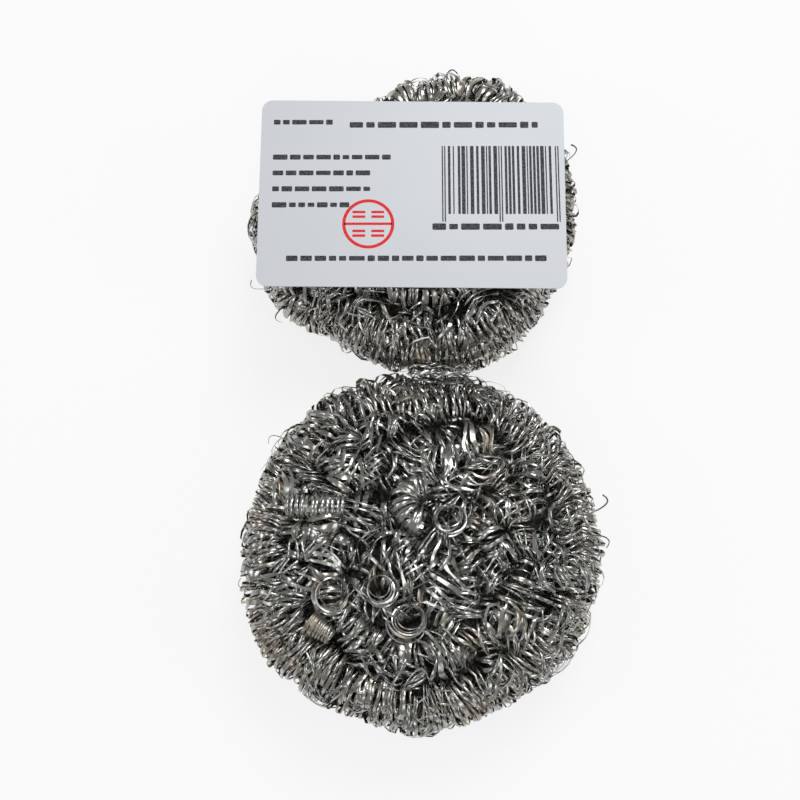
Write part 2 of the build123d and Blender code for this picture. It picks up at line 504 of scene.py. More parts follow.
class Scourer:
    """Flattened ball of wool that the strands are laid on"""

    def __init__(self, prefix, middle, radius, outline):
        sizes = bpy.context.scene.scourer_sizes
        self.prefix = prefix
        self.body = f"{prefix}_scourer"
        self.half = sizes.height / 2
        self.middle = Vector((*middle, self.half))
        self.radius = radius
        self.outline = list(outline)
        self.powers = (sizes.face_roundness, sizes.foot_roundness)

    def reach(self, angle):
        """Radius of the outline at an angle, easing from one share to the next"""
        place = (angle % FULL_TURN) / FULL_TURN * len(self.outline)
        k = int(place)
        ease = (1 - math.cos(math.pi * (place - k))) / 2
        here = self.outline[k % len(self.outline)]
        there = self.outline[(k + 1) % len(self.outline)]
        return self.radius * (here + (there - here) * ease)

    def on_skin(self, point, depth):
        """The point moved to or from the middle until it lies so deep under the skin"""
        away = point - self.middle
        across = math.hypot(away.x, away.y) / (self.reach(math.atan2(away.y, away.x)) - depth)
        along = abs(away.z) / (self.half - depth)
        power = self.powers[away.z < 0]
        share = (across**power + along**power) ** (1 / power)
        return self.middle + away / share

    def above(self, x, y, depth):
        """Point over a place of the face, so deep under the skin"""
        across = math.hypot(x, y) / (self.reach(math.atan2(y, x)) - depth)
        rise = (1 - min(across, 1) ** self.powers[0]) ** (1 / self.powers[0])
        return self.middle + Vector((x, y, (self.half - depth) * rise))

    def trimmed(self, places, slack, soft):
        """Places pressed back where they stand out of the skin, in shares of the way to it"""
        turns = np.linspace(0, FULL_TURN, OUTLINE_STEPS + 1)
        reaches = np.array([self.reach(turn) for turn in turns])
        away = places - np.array(self.middle)
        angles = np.arctan2(away[:, 1], away[:, 0]) % FULL_TURN
        across = np.hypot(away[:, 0], away[:, 1]) / np.interp(angles, turns, reaches)
        along = np.abs(away[:, 2]) / self.half
        power = np.where(away[:, 2] < 0, self.powers[1], self.powers[0])
        share = (across**power + along**power) ** (1 / power)
        kept = pressed(share, 1 + slack, soft) / share
        return np.array(self.middle) + away * kept[:, None]

    def outward(self, point):
        """Direction straight out of the skin near a point"""
        away = point - self.middle
        return Vector(
            (away.x / self.radius**2, away.y / self.radius**2, away.z / self.half**2)
        ).normalized()

    def stroll(self, chance, start, heading, length, depth, drift):
        """Points of a wandering way along the skin, so deep under it"""
        point = self.on_skin(start, depth)
        points = [point]
        turning = chance.gauss(0, drift)
        for _ in range(round(length / STROLL_STEP)):
            normal = self.outward(point)
            heading = (heading - normal * heading.dot(normal)).normalized()
            turning = STROLL_MEMORY * turning + chance.gauss(0, drift)
            heading.rotate(Quaternion(normal, turning))
            below = depth + chance.gauss(0, STROLL_WAVER)
            point = self.on_skin(point + heading * STROLL_STEP, below)
            points.append(point)
        return points


def scourers():
    sizes = bpy.context.scene.scourer_sizes
    lower = Scourer("lower", (0, 0), sizes.lower_radius, sizes.lower_outline)
    upper = Scourer("upper", sizes.upper_middle, sizes.upper_radius, sizes.upper_outline)
    return lower, upper


def level_way(angle):
    """Level direction at an angle from +X towards +Y"""
    return Vector((math.cos(angle), math.sin(angle), 0))


def deselect():
    if bpy.context.object and bpy.context.object.mode != "OBJECT":
        bpy.ops.object.mode_set(mode="OBJECT")
    bpy.ops.object.select_all(action="DESELECT")


def select(objects):
    deselect()
    for piece in objects:
        piece.select_set(True)
    bpy.context.view_layer.objects.active = objects[0]


def edit_whole():
    """Opens the active mesh in edit mode with all of it selected"""
    bpy.ops.object.mode_set(mode="EDIT")
    bpy.ops.mesh.select_all(action="SELECT")


def end_edit():
    """Turns every face of the edited mesh outwards and leaves edit mode"""
    bpy.ops.mesh.select_all(action="SELECT")
    bpy.ops.mesh.normals_make_consistent(inside=False)
    bpy.ops.object.mode_set(mode="OBJECT")


def read_points(piece):
    """Places of a mesh's points, one row each"""
    places = np.empty(len(piece.data.vertices) * 3)
    piece.data.vertices.foreach_get("co", places)
    return places.reshape(-1, 3)


def move_points(piece, places):
    piece.data.vertices.foreach_set("co", places.ravel())
    piece.data.update()


def add_to_scene(name, data):
    """New object that holds the data"""
    made = bpy.data.objects.new(name, data)
    bpy.context.scene.collection.objects.link(made)
    return made


def joined(objects, name):
    """The objects made into one mesh of that name"""
    select(objects)
    bpy.ops.object.convert(target="MESH")
    if len(objects) > 1:
        bpy.ops.object.join()
    whole = bpy.context.object
    whole.name = whole.data.name = name
    return whole


def apply_all(piece):
    select([piece])
    for modifier in list(piece.modifiers):
        bpy.ops.object.modifier_apply(modifier=modifier.name)


def settle(piece, material, body, slot, *nodes):
    """Gives a finished piece its material, its body and the frame parts that it stands for"""
    piece.data.materials.clear()
    piece.data.materials.append(material)
    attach(piece, body)
    if nodes:
        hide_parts(*nodes)
    return piece


# The wire's section is a triangle drawn in a circle of radius 1, which has this width and height
SECTION_CORNERS = 3
SECTION_WIDTH = math.sqrt(3)
SECTION_HEIGHT = 1.5
CROWN_ANGLE = math.radians(60)


def draw_ribbon(turns, length, radius, width, thickness, steps):
    """Flat wire crowned on its outer side, wound or straight along X and closed at both ends"""
    deselect()
    bpy.ops.mesh.primitive_circle_add(vertices=SECTION_CORNERS, radius=1, fill_type="NOTHING")
    coil = bpy.context.object
    edit_whole()
    section = (width / SECTION_WIDTH, thickness / SECTION_HEIGHT, 1)
    bpy.ops.transform.resize(value=section, center_override=(0, 0, 0))
    bpy.ops.transform.translate(value=(0, radius, 0))
    bpy.ops.object.mode_set(mode="OBJECT")
    screw = coil.modifiers.new("Wind", "SCREW")
    screw.axis = "X"
    screw.angle = FULL_TURN * turns
    screw.screw_offset = length
    screw.steps = screw.render_steps = steps
    apply_all(coil)
    edit_whole()
    bpy.ops.mesh.fill_holes(sides=SECTION_CORNERS)
    end_edit()
    bpy.ops.object.shade_smooth_by_angle(angle=CROWN_ANGLE)
    coil["turns"] = float(turns)
    return coil


def wind_coil(turns, spacing, width=None, diameter=None, steps=None, thickness=None):
    """Coil of flat wire of the usual sizes, or of its own"""
    wool = bpy.context.scene.wool_sizes
    thickness = thickness or wool.ribbon_thickness
    radius = (diameter or wool.curl_diameter) / 2 - thickness
    steps = round((steps or wool.curl_steps) * turns)
    width = width or wool.ribbon_width
    return draw_ribbon(turns, spacing * turns, radius, width, thickness, steps)


def drifting(chance, turns, apart, amount):
    """Smooth line through random values that stand so many turns apart"""
    knots = [chance.gauss(0, amount) for _ in range(int(turns / apart) + 3)]

    def line(turn):
        place = turn / apart
        k = np.floor(place).astype(int)
        ease = place - k
        ease = ease * ease * (3 - 2 * ease)
        values = np.array(knots)
        return values[k] * (1 - ease) + values[k + 1] * ease

    return line


def twisted(places, angles):
    """Turns the section at every step about the ribbon's own line"""
    sections = places.reshape(-1, SECTION_CORNERS, 3)
    line = sections.mean(axis=1)
    along = np.gradient(line, axis=0)
    along /= np.linalg.norm(along, axis=1)[:, None]
    along = np.repeat(along, SECTION_CORNERS, axis=0)
    line = np.repeat(line, SECTION_CORNERS, axis=0)
    arms = places - line
    cos, sin = np.cos(angles)[:, None], np.sin(angles)[:, None]
    turned = arms * cos + np.cross(along, arms) * sin
    turned += along * (along * arms).sum(axis=1)[:, None] * (1 - cos)
    return line + turned


# How uneven a loose coil is: turns over which each measure drifts, and how far
COIL_DRIFTS = {
    "curl size": (1.0, 0.13),
    "strand size": (5.0, 0.1),
    "lean to Y": (0.8, 0.3),
    "lean to Z": (0.8, 0.3),
    "shift in X": (1.2, 0.35 * MM),
    "shift in Y": (1.5, 0.55 * MM),
    "shift in Z": (1.5, 0.55 * MM),
    "twist": (0.7, 0.55),
}


def loosen(coil, chance, looseness=1.0):
    """Makes a wound coil uneven: its curls differ in size, tilt and place, and stay smooth"""
    turns = coil["turns"]
    places = read_points(coil)
    x, y, z = places.T
    count = len(places)
    turn = np.arange(count) // SECTION_CORNERS * SECTION_CORNERS / count * turns
    drift = {
        measure: drifting(chance, turns, apart, amount * looseness)(turn)
        for measure, (apart, amount) in COIL_DRIFTS.items()
    }
    size = 1 + drift["curl size"] + drift["strand size"]
    moved_x = x + drift["shift in X"] + drift["lean to Y"] * y + drift["lean to Z"] * z
    moved_y = y * size + drift["shift in Y"]
    moved_z = z * size + drift["shift in Z"]
    moved = np.stack([moved_x, moved_y, moved_z], 1)
    move_points(coil, twisted(moved, drift["twist"]))
    return coil


def smooth_line(name, points):
    """Smooth curve from the first point to the last, drawn towards those between"""
    line = bpy.data.curves.new(name, "CURVE")
    line.dimensions = "3D"
    spline = line.splines.new("NURBS")
    spline.points.add(len(points) - 1)
    for place, point in zip(spline.points, points):
        place.co = (*point, 1)
    spline.order_u = min(4, len(points))
    spline.use_endpoint_u = True
    return line


def route_along(points, sizes):
    """Route that a coil is bent along, and scaled by the sizes"""
    line = smooth_line("route", points)
    line.use_path = True
    line.use_stretch = True
    line.use_deform_bounds = True
    line.use_radius = True
    line.twist_mode = "MINIMUM"
    line.resolution_u = 4
    for place, size in zip(line.splines[0].points, sizes):
        place.radius = size
    return add_to_scene("route", line)


def lay_coil(coil, points, sizes, shade, lean=0.0):
    """Copy of a coil bent along the points, its curls leaning over"""
    strand = add_to_scene("strand", coil.data.copy())
    if lean:
        slope = Matrix.Identity(4)
        slope[0][1] = lean
        strand.data.transform(slope)
    mark = strand.data.attributes.new("strand", "FLOAT", "POINT")
    mark.data.foreach_set("value", [shade] * len(strand.data.vertices))
    bend = strand.modifiers.new("Bend", "CURVE")
    bend.object = route_along(points, sizes)
    bend.deform_axis = "POS_X"
    return strand


def clear_routes():
    for thing in list(bpy.data.objects):
        if thing.name.startswith("route"):
            bpy.data.objects.remove(thing)


def jumble(piece, amount, scale):
    """Pushes the curls about with a smooth random field"""
    clouds = bpy.data.textures.new("jumble", "CLOUDS")
    clouds.noise_scale = scale
    clouds.noise_depth = 1
    clouds.cloud_type = "COLOR"
    push = piece.modifiers.new("Jumble", "DISPLACE")
    push.texture = clouds
    push.texture_coords = "LOCAL"
    push.direction = "RGB_TO_XYZ"
    push.mid_level = 0.5
    push.strength = amount
    apply_all(piece)


# Kinds of pattern coil: stretches of the spacing, numbers of turns, looseness and shares of the
# wire's width and thickness, the last for wire that stands on its edge
COIL_KINDS = {
    "tidy": ((1.25,), (4, 7, 11, 16, 22, 30), 0.45, (1, 1)),
    "loose": ((0.9, 1.25, 1.8, 3.0), (4, 7, 11, 16, 22), 1.0, (1, 1)),
    "edgewise": ((1.8, 3.5), (3, 5, 8), 1.2, (0.45, 2.5)),
}
RIBBON_WIDTH_SHARES = (0.85, 1.1, 1.45)

# Curls along a strand: how their size spreads, its memory from point to point and its limits, and
# how far they lean
CURL_SPREAD = 0.12
CURL_MEMORY = 0.6
CURL_SIZE_LIMITS = (0.6, 1.3)
MOST_LEAN = 0.5
TIDY_LEAN_SHARE = 0.6

# Strands of a layer: tries for each start, how near level the starts lie, most strands and fewest
# points, and the shares between which the size and the stretch of each vary
START_TRIES = 60
START_FLATNESS = 0.45
MOST_STRANDS = 260
FEWEST_POINTS = 3
SIZE_SHARES = (0.8, 1.15)
STRETCH_SHARES = (0.85, 1.5)

# Strands of a rim: fewest points and distance between them, most rise from end to end in mm, waver,
# overlap, spread of the curls and shares between which the size of each varies
FEWEST_RIM_POINTS = 4
RIM_STEP = 3 * MM
RIM_RISE = 3
RIM_WAVER = 0.3 * MM
RIM_OVERLAP = 1.5 * MM
RIM_CURL_SPREAD = 0.07
RIM_SIZE_SHARES = (0.9, 1.1)

# Sizes of the clouds that push curls and whole strands about
JUMBLE_SCALE = 3.5 * MM
LUMP_SCALE = 11 * MM


def way_length(points):
    return sum((after - before).length for before, after in zip(points, points[1:]))


def is_clear(point, kept_clear):
    """Whether a point is out of all the places that are kept clear"""
    return all((point - place).length >= room for place, room in kept_clear)


class Wool:
    """Lays strands of curls on a scourer and joins them into pieces"""

    def __init__(self, scourer, seed):
        self.scourer = scourer
        self.chance = random.Random(seed)
        self.wool = bpy.context.scene.wool_sizes
        self.coils = {kind: self.stretched_coils(*sizes) for kind, sizes in COIL_KINDS.items()}
        self.start_afresh()

    def start_afresh(self):
        self.strands = []
        self.forget_places()

    def forget_places(self):
        self.taken = np.zeros((0, 3))

    def stretched_coils(self, stretches, counts, looseness, section):
        """Pattern coils of one kind, by how far they are stretched and by their turns"""
        return {
            stretch: {turns: self.patterns(turns, stretch, looseness, section) for turns in counts}
            for stretch in stretches
        }

    def patterns(self, turns, stretch, looseness, section):
        """Coils of so many turns, of narrow to wide wire, each loosened in its own way"""
        spacing = self.wool.curl_spacing * stretch
        thickness = section[1] * self.wool.ribbon_thickness
        coils = []
        for share in RIBBON_WIDTH_SHARES:
            width = section[0] * (self.wool.ribbon_width * share)
            coil = wind_coil(turns, spacing, width, thickness=thickness)
            coils.append(loosen(coil, self.chance, looseness))
        return coils

    def lay(self, points, size, spread=CURL_SPREAD, stretch=1.0, kind="loose"):
        """One strand along the points, of the coil whose curls fit the length best"""
        stretches = self.coils[kind]
        coils = stretches[min(stretches, key=lambda share: abs(share - stretch))]
        wanted = way_length(points) / (self.wool.curl_spacing * stretch)
        turns = min(coils, key=lambda count: abs(count - wanted))
        smallest, largest = CURL_SIZE_LIMITS
        sizes = []
        here = self.chance.gauss(0, spread)
        for _ in points:
            here = CURL_MEMORY * here + self.chance.gauss(0, spread)
            sizes.append(size * min(max(1 + here, smallest), largest))
        shade = self.chance.random()
        lean = self.chance.uniform(-MOST_LEAN, MOST_LEAN)
        lean *= TIDY_LEAN_SHARE if kind == "tidy" else 1
        coil = self.chance.choice(coils[turns])
        self.strands.append(lay_coil(coil, points, sizes, shade, lean))
        self.taken = np.vstack([self.taken, [tuple(point) for point in points]])

    def start_between(self, heights, depth, kept_clear):
        """The emptiest of some random places between two heights, and how empty it is"""
        lowest, highest = (share * 2 * self.scourer.half for share in heights)
        best, best_room = None, -1
        for _ in range(START_TRIES):
            z = self.chance.uniform(-1, 1)
            angle = self.chance.uniform(0, FULL_TURN)
            flat = math.sqrt(1 - z * z)
            away = Vector((flat * math.cos(angle), flat * math.sin(angle), z * START_FLATNESS))
            point = self.scourer.on_skin(self.scourer.middle + away, depth)
            if not lowest < point.z < highest or not is_clear(point, kept_clear):
                continue
            room = 1.0
            if len(self.taken):
                room = np.sqrt(((self.taken - np.array(point)) ** 2).sum(1)).min()
            if room > best_room:
                best, best_room = point, room
        return best, best_room

    def cover(self, layer, kept_clear):
        """Lays wandering strands until no place of the layer is emptier than its room"""
        depth = layer.depth * MM
        shortest, longest = (length * MM for length in layer.lengths)
        for _ in range(MOST_STRANDS):
            start, gap = self.start_between(layer.heights, depth, kept_clear)
            if start is None or gap < layer.room * MM:
                break
            heading = Vector([self.chance.gauss(0, 1) for _ in range(3)])
            length = self.chance.uniform(shortest, longest)
            points = self.scourer.stroll(self.chance, start, heading, length, depth, layer.drift)
            kept = []
            for point in points:
                if not is_clear(point, kept_clear):
                    break
                kept.append(point)
            if len(kept) < FEWEST_POINTS:
                kept = points[:FEWEST_POINTS]
            size = layer.size * self.chance.uniform(*SIZE_SHARES)
            stretch = layer.stretch * self.chance.uniform(*STRETCH_SHARES)
            self.lay(kept, size, stretch=stretch, kind=layer.kind)

    def ring(self, row):
        """A row of strands round the rim, end to end"""
        radius = self.scourer.radius
        shortest, longest = (length * MM for length in row.lengths)
        angle = self.chance.uniform(0, FULL_TURN)
        last = angle + FULL_TURN
        while angle < last:
            length = self.chance.uniform(shortest, longest)
            count = max(FEWEST_RIM_POINTS, round(length / RIM_STEP))
            rise = self.chance.uniform(-RIM_RISE, RIM_RISE) * MM
            points = []
            for i in range(count + 1):
                turn = angle + length / radius * i / count
                away = level_way(turn) * (radius - row.inset * MM)
                away.z = row.height * MM - self.scourer.half + rise * (i / count - 0.5)
                point = self.scourer.on_skin(self.scourer.middle + away, row.depth * MM)
                waver = Vector([self.chance.gauss(0, RIM_WAVER) for _ in range(3)])
                points.append(point + waver)
            size = row.size * self.chance.uniform(*RIM_SIZE_SHARES)
            self.lay(points, size, RIM_CURL_SPREAD, row.stretch, row.kind)
            angle += (length - RIM_OVERLAP) / radius

    def finish(self, name, lumpiness=1.0):
        """Joins what has been laid into one piece"""
        if not self.strands:
            raise RuntimeError(f"{name}: no strand was laid")
        piece = joined(self.strands, name)
        self.start_afresh()
        clear_routes()
        jumble(piece, self.wool.jumble, JUMBLE_SCALE)
        jumble(piece, self.wool.lumps * lumpiness, LUMP_SCALE)
        return piece

    def put_away(self):
        """Removes the pattern coils"""
        for stretches in self.coils.values():
            for coils in stretches.values():
                for coil in sum(coils.values(), []):
                    bpy.data.objects.remove(coil)


def pressed(heights, limit, soft):
    """Heights eased to stay under a limit, from so far below it"""
    over = np.clip(heights - (limit - soft), 0, None)
    return np.where(over > 0, limit - soft + soft * np.tanh(over / soft), heights)


# Where wool gives way: at the skin in shares of the way to it, under the card and on the floor
SKIN_SLACK = 0.038
SKIN_SOFTNESS = 0.035
CARD_MARGIN = 0.8 * MM
CARD_CLEARANCE = 0.15 * MM
CARD_SOFTNESS = 3 * MM
FLOOR_CLEARANCE = 0.1 * MM
FLOOR_SOFTNESS = 2.5 * MM


def press(piece, scourer):
    """Flattens a piece against the skin, on the floor and where it would poke through the card"""
    low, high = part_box("label_card")
    places = scourer.trimmed(read_points(piece), SKIN_SLACK, SKIN_SOFTNESS)
    x, y, z = places.T
    across = (x > low.x - CARD_MARGIN) & (x < high.x + CARD_MARGIN)
    under = across & (y > low.y - CARD_MARGIN) & (y < high.y + CARD_MARGIN)
    places[:, 2] = np.where(under, pressed(z, low.z - CARD_CLEARANCE, CARD_SOFTNESS), z)
    places[:, 2] = -pressed(-places[:, 2], -FLOOR_CLEARANCE, FLOOR_SOFTNESS)
    move_points(piece, places)


# Noise at which the wire's brown patches begin
BROWN_FROM = 0.62
BROWN_COIL_FROM = 0.45
RIM_TINT = (1.03, 0.98, 0.96)


def steel(name="wool_steel", tint=(1, 1, 1)):
    """Finish of the usual wire, made once under each name"""
    clean = tinted(finishes().steel, tint)
    made = bpy.data.materials.get(name)
    return made or wire_finish(name, clean, finishes().tarnish, BROWN_FROM)


# Close coils on the front face: middle in mm, direction in degrees, length and width in mm
CLOSE_COILS = {
    "lower_brown_coils": ((-28.5, 3.7, -10, 6.5, 6.2), (-20.5, 1.7, -30, 3.4, 3.8)),
    "lower_close_coils": (
        (-32.9, -5.2, 80, 10, 7.2),
        (10.2, -10.7, 96, 12, 9.2),
        (-19.8, -17.8, -50, 7, 8.6),
        (-17.0, -24.2, -58, 6, 8.0),
        (-31.2, -23.6, -50, 6, 8.0),
        (18.6, -29.6, 140, 6, 8.6),
        (28.9, -11.7, 58, 10, 8.0),
        (27.7, 16.9, 92, 9, 8.8),
        (-19.5, 25.4, 78, 12, 9.0),
        (5.0, 24.0, 20, 10, 8.6),
    ),
    "lower_filling_coils": ((16.8, 3.0, 105, 9, 8.0), (-9.0, 31.5, 10, 7, 7.6)),
}

# Lone flat wires on the front face: X and Y of both ends in mm
LONE_RIBBONS = (
    (-12.6, -4.4, -4.0, -6.0),
    (-18.4, -8.2, -12.6, -14.6),
    (-18.6, -14.4, -12.8, -8.6),
    (-8.4, 19.2, -1.6, 11.4),
    (-5.6, 21.4, -0.8, 12.0),
    (-11.6, 15.8, -8.6, 9.4),
    (5.2, 33.6, 13.4, 33.2),
    (11.6, 32.6, 17.6, 26.4),
    (21.4, 7.8, 30.6, 8.2),
    (22.6, 13.8, 31.4, 10.6),
    (5.6, -4.8, 13.6, -5.8),
    (6.2, -12.4, 15.8, -9.2),
    (23.8, 24.4, 24.6, 18.6),
    (-29.0, 31.5, -21.0, 33.0),
    (-34.0, 18.8, -25.5, 20.6),
    (-25.8, -4.4, -18.0, -6.4),
    (30.0, -4.0, 35.2, -10.2),
    (-2.0, -33.0, 2.6, -39.0),
)

# Coils that stand on end on the front face: X and Y of the middle and outer diameter in mm
RING_COILS = ((-23.5, -12.4, 9.0), (-3.8, -18.7, 9.4), (6.7, 6.5, 8.8), (-9.9, -10.7, 8.2))

# Room in mm that the other strands leave round the coils that show by themselves
OPEN_COIL_ROOM = 5.2
RING_COIL_ROOM = 5.6
PINCHED_COIL_ROOM = 7.4
TIGHT_COIL_ROOM = 4.8
CLOSE_COIL_WIDTH_SHARE = 0.36
CLOSE_COIL_LENGTH_SHARE = 0.12


def single_coil_places():
    """Points and distances that keep the other strands off the coils that show by themselves"""
    low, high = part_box("lower_open_coil")
    middle = (low + high) / 2
    reach = Vector(((high.x - low.x) / 2, 0, 0))
    places = [(middle + reach * share, OPEN_COIL_ROOM * MM) for share in (-1, -0.4, 0.3, 1)]
    rooms = {"lower_pinched_coil": PINCHED_COIL_ROOM, "lower_tight_coil": TIGHT_COIL_ROOM}
    for node, room in rooms.items():
        low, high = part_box(node)
        places.append(((low + high) / 2, room * MM))
    flat_coils = [(x, y, RING_COIL_ROOM) for x, y, diameter in RING_COILS]
    for name in ("lower_brown_coils", "lower_close_coils"):
        for x, y, angle, length, width in CLOSE_COILS[name]:
            room = CLOSE_COIL_WIDTH_SHARE * width + CLOSE_COIL_LENGTH_SHARE * length
            flat_coils.append((x, y, room))
    places += [(Vector((x * MM, y * MM, low.z)), room * MM) for x, y, room in flat_coils]
    return places


# Heart of each scourer: depth under the skin, size and swell of its lumps, and the level of the
# pattern that stays in place
HEART_DEPTH = 9 * MM
HEART_LUMP_SIZE = 5 * MM
HEART_SWELL = 3 * MM
HEART_LEVEL = 0.3


class SCOURERS_OT_hearts(bpy.types.Operator):
    """Lumpy tangle that fills each scourer under its curls, coloured with painted shade for the
    shadow inside the wool
    """

    bl_idname = "scourers.hearts"
    bl_label = "Hearts of wool"

    def execute(self, context):
        material = painted_depth_shade_finish()
        for scourer in scourers():
            deselect()
            bpy.ops.mesh.primitive_ico_sphere_add(subdivisions=6, radius=1)
            heart = context.object
            heart.name = heart.data.name = f"{scourer.prefix}_heart"
            for vertex in heart.data.vertices:
                place = scourer.middle + Vector(vertex.co) * scourer.radius
                vertex.co = scourer.on_skin(place, HEART_DEPTH)
            lumps = bpy.data.textures.new("lumps", "VORONOI")
            lumps.noise_scale = HEART_LUMP_SIZE
            swell = heart.modifiers.new("Lumps", "DISPLACE")
            swell.texture = lumps
            swell.texture_coords = "LOCAL"
            swell.mid_level = HEART_LEVEL
            swell.strength = HEART_SWELL
            apply_all(heart)
            bpy.ops.object.shade_smooth()
            settle(heart, material, scourer.body, "wire_wool", f"{scourer.prefix}_core")
        return {"FINISHED"}


# Strands that reach out of the back scourer, in the neck between the two and in the tuft
# behind the card: both ends in mm and the size of the curls
REACHING_STRETCH = 1.25
REACHING_CURL_SPREAD = 0.05
REACHING_STRANDS = (
    ((0.5, 52, 22), (2, 42, 24), 0.85),
    ((3.8, 52, 22), (3.8, 42, 24), 0.85),
    ((7.2, 52, 22), (8.2, 42, 24), 0.85),
    ((10.6, 52, 22), (9.6, 42, 24), 0.85),
    ((-21.5, 120.5, 26), (-9, 124.6, 28), 0.64),
    ((-20.5, 118, 22), (-11, 122.6, 25), 0.7),
)


class Row(NamedTuple):
    """Strands laid end to end round a rim, in mm; size and stretch are shares of the usual curls"""

    height: float
    depth: float
    lengths: tuple
    size: float
    stretch: float
    kind: str
    inset: float = 0


class Layer(NamedTuple):
    """Strands that wander over a part of a scourer until no gap is wider than the room, in mm

    The clear share is how much of the room round the single coils stays free, and a layer that
    crosses the one before it takes no notice of its strands.
    """

    heights: tuple
    depth: float
    lengths: tuple
    room: float
    size: float
    drift: float = 0.16
    stretch: float = 1.0
    kind: str = "loose"
    clear_share: float = 0
    crosses: bool = False


RIM_LUMPINESS = 0.65
RIM_ROWS = {
    "rim_wool": (
        Row(8, 4.6, (22, 44), 1.15, 1.25, "tidy"),
        Row(15, 4.2, (22, 44), 1.15, 1.25, "tidy"),
        Row(23, 4.2, (22, 44), 1.15, 1.25, "tidy"),
        Row(30, 4.6, (22, 44), 1.15, 1.25, "tidy"),
        Row(38, 4.6, (22, 44), 1.15, 1.25, "tidy", inset=9),
    ),
    "rim_loops": (
        Row(11, 3.4, (12, 26), 0.95, 3.0, "loose"),
        Row(20, 3.4, (12, 26), 0.95, 3.0, "loose"),
        Row(28, 3.4, (12, 26), 0.95, 3.0, "loose"),
        Row(17, 4.2, (9, 18), 1.0, 3.5, "edgewise"),
    ),
}

# Parts of a scourer as shares of its height
WHOLE = (-1, 2)
FACE = (0.68, 2)
UNDERSIDE = (-1, 0.26)

WOOL_LAYERS = {
    "inner_wool": (Layer(WHOLE, 9.5, (18, 36), 5.0, 1.1),),
    "face_wool": (
        Layer(FACE, 6.4, (14, 30), 4.0, 1.1, clear_share=0.5),
        Layer(FACE, 3.4, (10, 24), 3.8, 1.0, 0.17, 1.4, clear_share=1, crosses=True),
    ),
    "face_loops": (
        Layer(FACE, 2.6, (9, 20), 6.5, 0.9, 0.25, 3.0, clear_share=1),
        Layer(FACE, 2.2, (7, 16), 5.0, 1.0, 0.3, 3.5, "edgewise", clear_share=1),
    ),
    "under_wool": (Layer(UNDERSIDE, 4, (14, 32), 4.2, 1.1),),
}


class SCOURERS_OT_wool(bpy.types.Operator):
    """Curls of flat wire that cover each scourer"""

    bl_idname = "scourers.wool"
    bl_label = "Wool"

    def execute(self, context):
        for index, scourer in enumerate(scourers()):
            wool = Wool(scourer, context.scene.wool_sizes.seed + index)
            single = single_coil_places() if scourer.prefix == "lower" else []
            for name, rows in RIM_ROWS.items():
                for row in rows:
                    wool.ring(row)
                self.finish(wool, name, "strand", steel("rim_steel", RIM_TINT), RIM_LUMPINESS)
            if scourer.prefix == "upper":
                self.lay_reaching_strands(wool)
            for name, layers in WOOL_LAYERS.items():
                for layer in layers:
                    if layer.crosses:
                        wool.forget_places()
                    kept_clear = [(place, layer.clear_share * room) for place, room in single]
                    wool.cover(layer, kept_clear)
                self.finish(wool, name, "core", steel())
            wool.put_away()
        return {"FINISHED"}

    def finish(self, wool, name, node, metal, lumpiness=1.0):
        """Makes what has been laid a piece of its scourer, in place of one of its nodes"""
        scourer = wool.scourer
        piece = wool.finish(f"{scourer.prefix}_{name}", lumpiness)
        press(piece, scourer)
        settle(piece, metal, scourer.body, "steel_wire", f"{scourer.prefix}_{node}")

    def lay_reaching_strands(self, wool):
        for start, end, size in REACHING_STRANDS:
            way = [Vector(start).lerp(Vector(end), i / 3) * MM for i in range(4)]
            wool.lay(way, size, REACHING_CURL_SPREAD, REACHING_STRETCH)
        reaching = wool.finish("upper_reaching_wool")
        settle(reaching, steel(), wool.scourer.body, "steel_wire", "upper_strand")


def place_coil(coil, name, points, sizes, shade, lean=0.0):
    """The coil itself, bent along the points and made final"""
    strand = lay_coil(coil, points, sizes, shade, lean)
    piece = joined([strand], name)
    clear_routes()
    bpy.data.objects.remove(coil)
    return piece


# Single coils: turns, spacing, wire width and outer diameter in mm, and steps of a curl
OPEN_COIL = (12, 1.45, 0.8, 6.4, 24)
PINCHED_COIL = (13, 1.3, 1.0, 8.4, 22)
TIGHT_COIL = (11, 0.62, 0.52, 6.6, 24)
RING_COIL_TURNS = 8
RING_COIL_SPACING = 0.65
RING_WIRE_WIDTH = 0.36
RING_WIRE_THICKNESS = 0.3
RING_COIL_STEPS = 26

# Ways of the single coils, in mm and degrees
OPEN_COIL_BOW = 1.2
RING_COIL_RISE = 1.5
PINCHED_BEND_RADIUS = 4.6
PINCHED_BEND_START = 75
PINCHED_BEND_SWEEP = 210
PINCHED_BEND_STEPS = 8
TIGHT_COIL_DIRECTION = -35
TIGHT_COIL_REACH = 2.9


def single_coil(chance, sizes, looseness, thickness=None):
    """Coil of its own turns, spacing, wire width, diameter and steps"""
    turns, spacing, width, diameter, steps = sizes
    coil = wind_coil(turns, spacing * MM, width * MM, diameter * MM, steps, thickness)
    return loosen(coil, chance, looseness)


